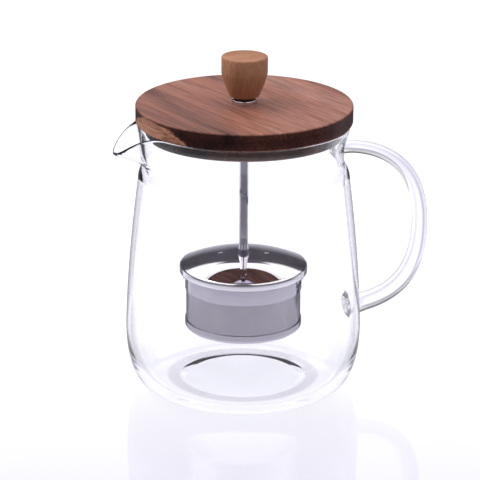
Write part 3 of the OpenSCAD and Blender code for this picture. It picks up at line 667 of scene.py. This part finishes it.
secondCutter = cutter.copy()
secondCutter.location = -cutter.location
bpy.context.scene.collection.objects.link(secondCutter)
for tool in (cutter, secondCutter):
    cut = coverPiece.modifiers.new("vent", "BOOLEAN")
    cut.operation, cut.solver, cut.object = "DIFFERENCE", "EXACT", tool
pierced = bpy.data.meshes.new_from_object(coverPiece.evaluated_get(bpy.context.evaluated_depsgraph_get()))
coverPiece.modifiers.clear()
coverPiece.data = pierced
for tool in (cutter, secondCutter):
    bpy.data.objects.remove(tool)
dress(coverPiece, mirrorSteel, "infuser", ("infuser_cover",))
print("cover ready")


# CAD nodes that keep their shape

finishes = {
    "lid_bush": polishedSteel, "bush_washer": satinSteel, "bush_nut": polishedSteel,
    "knob_insert": turnedBrass, "buffer_washer": blackRubber, "upper_rod": polishedSteel,
    "knuckle_pin": satinSteel,
    "lower_rod": polishedSteel, "stem_collar": polishedSteel, "cover_sleeve": satinSteel,
    "bayonet_pins": satinSteel, "cover_washer": satinSteel, "cover_nut": satinSteel,
    "basket_collar": bandSteel, "basket_mesh": etchedMesh, "basket_base": bandSteel}
for name, material in finishes.items():
    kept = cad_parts[name]
    kept.data.materials.clear()
    kept.data.materials.append(material)
print("kept nodes dressed")


# floor, light and camera

# heights in the sky are the upward part of a ray's direction, 0 level and 1 straight up
studio = {"cameraSide": -110.0, "flags": (37.0, 103.0), "flagWidth": 12.0, "flagDark": 0.3,
          "bands": [(0.0, (0.50, 0.50, 0.54)), (0.12, (0.26, 0.26, 0.29)), (0.30, (0.045, 0.04, 0.05)),
                    (0.56, (0.06, 0.055, 0.065)), (0.60, (1.0, 1.0, 1.0)), (0.97, (1.0, 1.0, 1.0)),
                    (1.0, (0.8, 0.8, 0.8))],
          "sideRise": 0.22, "flagTop": (0.40, 0.56), "gapWidth": 14, "gapDark": 0.2,
          "wallSky": (0.50, 0.49, 0.57), "wallAhead": (-0.4, 0.0),
          "cardWidth": 10, "cardSoft": 9.0, "cardLow": (0.24, 0.34), "cardHigh": (0.45, 0.52),
          "throughTop": (0.15, 0.40), "level": (-0.05, 0.0), "underFoot": (0.90, 0.86, 1.0),
          "dimStrength": 1.5, "whiteStrength": 1.0}
# distances on the table are metres from the jug's axis, or away from the camera's side
table = {"half": 3.0, "colour": (0.07, 0.07, 0.075), "rough": 0.05, "specular": 0.55,
         "throughGlow": (1.10, 1.09, 1.20), "farGlow": (0.95, 0.95, 0.96), "nearShadeGlow": (0.71, 0.70, 0.82),
         "glowAhead": (-0.22, 0.12), "glowReach": (0.32, 0.50),
         "litTo": (0.65, 0.95), "beyond": 0.25, "footEdge": (0.05, 0.09), "nearFootShade": 0.87,
         "ringIn": (0.0315, 0.0335), "ringOut": (0.0385, 0.0405), "ringAhead": (-0.035, 0.02),
         "ringShadowFront": 0.36, "ringShadowBack": 0.12, "puntEdge": (0.030, 0.0315), "inRingShadow": 0.03,
         "flagDark": 0.1, "nearEdge": (0.17, 0.25), "seenNear": 0.72, "seenFar": 0.10,
         "closeEdge": (0.10, 0.16), "closeShadow": 0.68, "underEdge": (0.07, 0.10), "seenUnder": 0.82,
         "behindFrom": (0.0, 0.12), "seenBehind": 0.95, "bounce": 0.7, "inWall": 0.8,
         "wallAhead": (-0.15, 0.0)}


def flagGaps(tree, angle, dark):
    # the two dark flags beside the backdrop
    first, second = (sector(tree, angle, flag, studio["flagWidth"], dark) for flag in studio["flags"])
    return mathNode(tree, "MULTIPLY", first, second)


def insideWall(tree, path, ahead, start, end):
    # 1 for a ray that was reflected inside the glass: once or more, if it has passed one wall or
    # more than two and goes away from the camera's side, or else three times or more
    depth, turns = path.outputs["Transmission Depth"], path.outputs["Glossy Depth"]
    once = mathNode(tree, "MAXIMUM", mathNode(tree, "COMPARE", depth, 2.0, 0.5),
                    mathNode(tree, "GREATER_THAN", depth, 4.5))
    once = mathNode(tree, "MULTIPLY", once, mathNode(tree, "GREATER_THAN", turns, 0.5))
    once = mathNode(tree, "MULTIPLY", once, fadeNode(tree, ahead, start, end, 0.0, 1.0))
    often = mathNode(tree, "MULTIPLY", mathNode(tree, "GREATER_THAN", depth, 3.5),
                     mathNode(tree, "GREATER_THAN", turns, 2.5))
    return mathNode(tree, "MAXIMUM", once, often)


def makeFloor():
    # a pale table whose glow depends on the kind of ray that meets it
    half = table["half"]
    points = [(-half, -half, 0.0), (half, -half, 0.0), (half, half, 0.0), (-half, half, 0.0)]
    mesh = bpy.data.meshes.new("floor")
    mesh.from_pydata(points, [], [[0, 1, 2, 3]])
    floor = bpy.data.objects.new("floor", mesh)
    bpy.context.scene.collection.objects.link(floor)
    material, tree, shader = newMaterial("whiteTable", Roughness=table["rough"])
    shader.inputs["Base Color"].default_value = (*table["colour"], 1)
    shader.inputs["Specular IOR Level"].default_value = table["specular"]
    path = node(tree, "ShaderNodeLightPath")
    place = node(tree, "ShaderNodeTexCoord").outputs["Object"]
    part = node(tree, "ShaderNodeSeparateXYZ", {"Vector": place})
    angle = mathNode(tree, "ARCTAN2", part.outputs["Y"], part.outputs["X"])
    ahead = towards(tree, place, studio["cameraSide"] + 180)
    reach = node(tree, "ShaderNodeVectorMath", {0: place}, operation="LENGTH").outputs["Value"]

    # mirrored: dim away from the jug, with a painted shadow close round it, bright under it and behind it,
    # dark at the flags
    front = fadeNode(tree, reach, *table["nearEdge"], table["seenNear"], table["seenFar"])
    close = fadeNode(tree, reach, *table["closeEdge"], table["closeShadow"], 1.0)
    under = fadeNode(tree, reach, *table["underEdge"], table["seenUnder"], 0.0)
    behind = fadeNode(tree, ahead, *table["behindFrom"], 0.0, table["seenBehind"])
    front = mathNode(tree, "MAXIMUM", mathNode(tree, "MULTIPLY", front, close), under)
    metal = mathNode(tree, "MULTIPLY", flagGaps(tree, angle, table["flagDark"]),
                     mathNode(tree, "MAXIMUM", front, behind))
    mirrored = mathNode(tree, "GREATER_THAN", path.outputs["Glossy Depth"], 0.5)

    # seen through glass: a lit disc with dim ground far round it, a little darker under the foot ring, a
    # painted shadow that is deepest in front, and painted shade near the foot
    disc = fadeNode(tree, reach, *table["litTo"], 1.0, table["beyond"])
    ring = mathNode(tree, "MULTIPLY", fadeNode(tree, reach, *table["ringIn"], 0.0, 1.0),
                    fadeNode(tree, reach, *table["ringOut"], 1.0, 0.0))
    ring = mathNode(tree, "MULTIPLY", ring, fadeNode(tree, ahead, *table["ringAhead"], table["ringShadowFront"],
                                                     table["ringShadowBack"]))
    footShadow = mathNode(tree, "MAXIMUM", ring, fadeNode(tree, reach, *table["puntEdge"], table["inRingShadow"], 0.0))
    disc = mathNode(tree, "MULTIPLY", disc, mathNode(tree, "SUBTRACT", 1.0, footShadow))
    disc = mathNode(tree, "MULTIPLY", disc, fadeNode(tree, reach, *table["footEdge"], table["nearFootShade"], 1.0))
    through = mathNode(tree, "MULTIPLY", mathNode(tree, "SUBTRACT", 1.0, mirrored),
                       path.outputs["Is Transmission Ray"])

    indirect = mathNode(tree, "MAXIMUM", mathNode(tree, "MULTIPLY", mirrored, metal),
                        mathNode(tree, "MULTIPLY", through, disc))
    lit = mathNode(tree, "MAXIMUM", path.outputs["Is Camera Ray"], indirect)
    lit = mathNode(tree, "MAXIMUM", lit, mathNode(
        tree, "MULTIPLY", path.outputs["Is Diffuse Ray"], table["bounce"]))
    lit = mathNode(tree, "MAXIMUM", lit, mathNode(
        tree, "MULTIPLY", insideWall(tree, path, ahead, *table["wallAhead"]), table["inWall"]))
    # painted shade: the table seen directly goes from farGlow far off to a darker lavender near the jug and
    # towards the camera's side
    depth = mathNode(tree, "MAXIMUM", fadeNode(tree, ahead, *table["glowAhead"], 0.0, 1.0),
                     fadeNode(tree, reach, *table["glowReach"], 0.0, 1.0))
    glow = mixColour(tree, depth, (*table["nearShadeGlow"], 1), (*table["farGlow"], 1))
    glow = mixColour(tree, path.outputs["Is Camera Ray"], (*table["throughGlow"], 1), glow)
    tree.links.new(glow, shader.inputs["Emission Color"])
    tree.links.new(lit, shader.inputs["Emission Strength"])
    mesh.materials.append(material)


def makeWorld():
    # a studio: dim walls low down, a bright softbox above them, and dark gaps where the camera
    # stands and beside the white backdrop; the camera itself sees plain white
    world = bpy.data.worlds.new("studio")
    bpy.context.scene.world = world
    world.use_nodes = True
    tree = world.node_tree
    tree.nodes.clear()
    place = node(tree, "ShaderNodeTexCoord").outputs["Generated"]
    part = node(tree, "ShaderNodeSeparateXYZ", {"Vector": place})
    side = mathNode(tree, "ABSOLUTE", towards(tree, place, studio["cameraSide"] + 90))
    height = mathNode(tree, "ADD", part.outputs["Z"], mathNode(tree, "MULTIPLY", side, studio["sideRise"]))
    band = ramp(tree, height, studio["bands"])
    angle = mathNode(tree, "ARCTAN2", part.outputs["Y"], part.outputs["X"])
    low = fadeNode(tree, height, *studio["flagTop"], 0.0, 1.0)
    cameraGap = sector(tree, angle, studio["cameraSide"], studio["gapWidth"], studio["gapDark"])
    stripes = mathNode(tree, "MULTIPLY", cameraGap, mathNode(
        tree, "MAXIMUM", flagGaps(tree, angle, studio["flagDark"]), low))
    dimmed = mixColour(tree, 1.0, band, stripes, "MULTIPLY")
    path = node(tree, "ShaderNodeLightPath")
    ahead = towards(tree, place, studio["cameraSide"] + 180)
    dimmed = mixColour(tree, insideWall(tree, path, ahead, *studio["wallAhead"]), dimmed,
                       (*studio["wallSky"], 1))
    # a white card behind the jug, for what mirrors it directly, such as the table
    once = mathNode(tree, "COMPARE", path.outputs["Glossy Depth"], 1.0)
    unblocked = mathNode(tree, "LESS_THAN", path.outputs["Transmission Depth"], 0.5)
    first = mathNode(tree, "LESS_THAN", path.outputs["Ray Depth"], 2.5)
    outside = sector(tree, angle, studio["cameraSide"] + 180, studio["cardWidth"], 0.0,
                     soft=studio["cardSoft"])
    card = mathNode(tree, "MULTIPLY", mathNode(tree, "SUBTRACT", 1.0, outside), mathNode(
        tree, "MULTIPLY", fadeNode(tree, part.outputs["Z"], *studio["cardLow"], 0.0, 1.0),
        fadeNode(tree, part.outputs["Z"], *studio["cardHigh"], 1.0, 0.0)))
    card = mathNode(tree, "MULTIPLY", card, mathNode(
        tree, "MULTIPLY", first, mathNode(tree, "MULTIPLY", once, unblocked)))
    seen = mathNode(tree, "MAXIMUM", path.outputs["Is Camera Ray"], card)
    # through clear glass it is white as well, but not high up
    through = mathNode(tree, "MULTIPLY", path.outputs["Is Transmission Ray"], mathNode(
        tree, "LESS_THAN", path.outputs["Glossy Depth"], 0.5))
    seen = mathNode(tree, "MAXIMUM", seen, mathNode(tree, "MULTIPLY", through, fadeNode(
        tree, part.outputs["Z"], *studio["throughTop"], 1.0, 0.0)))
    # a ray that slips through the foot ring and under the table meets underFoot instead
    white = mixColour(tree, fadeNode(tree, part.outputs["Z"], *studio["level"], 0.0, 1.0),
                      (*studio["underFoot"], 1), (1, 1, 1, 1))
    colour = mixColour(tree, seen, dimmed, white)
    less = studio["whiteStrength"] - studio["dimStrength"]
    strength = mathNode(tree, "ADD", mathNode(tree, "MULTIPLY", seen, less), studio["dimStrength"])
    background = node(tree, "ShaderNodeBackground", {"Color": colour, "Strength": strength})
    sink = node(tree, "ShaderNodeOutputWorld")
    tree.links.new(background.outputs[0], sink.inputs["Surface"])


softbox = {"name": "softboxLeft", "place": (-0.9, 0.5, 1.3), "target": (0, 0, 0.1), "size": 0.8, "power": 9,
           "colour": (1.0, 0.99, 0.97)}


def makeLamp(look):
    # a round area lamp that faces its target and isn't mirrored
    data = bpy.data.lights.new(look["name"], "AREA")
    data.shape, data.size, data.energy, data.color = "DISK", look["size"], look["power"], look["colour"]
    lamp = bpy.data.objects.new(look["name"], data)
    bpy.context.scene.collection.objects.link(lamp)
    lamp.location = look["place"]
    lamp.visible_glossy = False
    aim = np.array(look["target"]) - np.array(look["place"])
    lamp.rotation_euler = (math.atan2(math.hypot(aim[0], aim[1]), -aim[2]), 0,
                           math.atan2(aim[1], aim[0]) - math.pi / 2)


view = {"azimuth": -20.0, "distance": 1.2, "height": 0.498, "pitch": 19.25, "roll": 0.35, "lens": 187.4,
        "sensor": 36, "shift": (-0.0075, -0.0054)}


def makeCamera():
    # stands level distance away at the azimuth, looks down by the pitch and leans by the roll
    a, p, r = (math.radians(view[k]) for k in ("azimuth", "pitch", "roll"))
    right = np.array([math.cos(a), math.sin(a), 0])
    forward = np.array([-math.sin(a) * math.cos(p), math.cos(a) * math.cos(p), -math.sin(p)])
    up = np.cross(right, forward)
    right, up = right * math.cos(r) + up * math.sin(r), up * math.cos(r) - right * math.sin(r)
    data = bpy.data.cameras.new("camera")
    data.lens, data.sensor_width = view["lens"], view["sensor"]
    data.shift_x, data.shift_y = view["shift"]
    camera = bpy.data.objects.new("camera", data)
    bpy.context.scene.collection.objects.link(camera)
    matrix = np.eye(4)
    matrix[:3, 0], matrix[:3, 1], matrix[:3, 2] = right, up, -forward
    matrix[:3, 3] = (math.sin(a) * view["distance"], -math.cos(a) * view["distance"], view["height"])
    camera.matrix_world = Matrix(matrix.tolist())
    bpy.context.scene.camera = camera


makeFloor()
makeWorld()
makeLamp(softbox)
makeCamera()
scene = bpy.context.scene
scene.view_settings.view_transform = "Standard"
scene.cycles.max_bounces = 24
scene.cycles.transmission_bounces = 24
scene.cycles.glossy_bounces = 8
print("studio ready")
